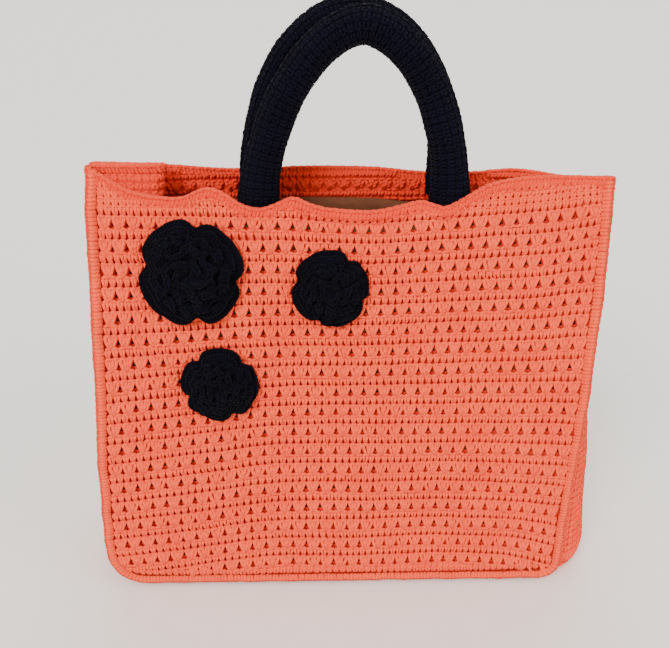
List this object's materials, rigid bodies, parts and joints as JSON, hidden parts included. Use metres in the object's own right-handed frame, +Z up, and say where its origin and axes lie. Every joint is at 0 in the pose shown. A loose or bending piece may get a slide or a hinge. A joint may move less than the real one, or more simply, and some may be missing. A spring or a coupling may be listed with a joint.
{
  "type": "shopping bag",
  "caption": "Upright crocheted shopping bag with a flat base, folded side gussets, wavy open mouth, arched padded tube handles, ruffled flower trims and a thin fabric lining.",
  "frame": {"origin": "middle of the bag's box, on the floor that it stands on", "axes": "+X to the right across the front, +Y from the front panel to the back panel, +Z up"},
  "size_m": [0.4426, 0.1218, 0.4929],
  "materials": {
    "coral_yarn": "matt crocheted yarn",
    "navy_yarn": "matt crocheted yarn",
    "brown_lining": "plain woven cloth"
  },
  "bodies": {
    "root": {"front_panel": "coral_yarn", "back_panel": "coral_yarn", "gusset_left": "coral_yarn", "gusset_base": "coral_yarn", "gusset_right": "coral_yarn", "front_band": "coral_yarn", "back_band": "coral_yarn", "rim": "coral_yarn", "lining": "brown_lining", "handle_front": "navy_yarn", "handle_back": "navy_yarn", "flower_large": "navy_yarn", "flower_medium": "navy_yarn", "flower_small": "navy_yarn"}
  },
  "joints": []
}
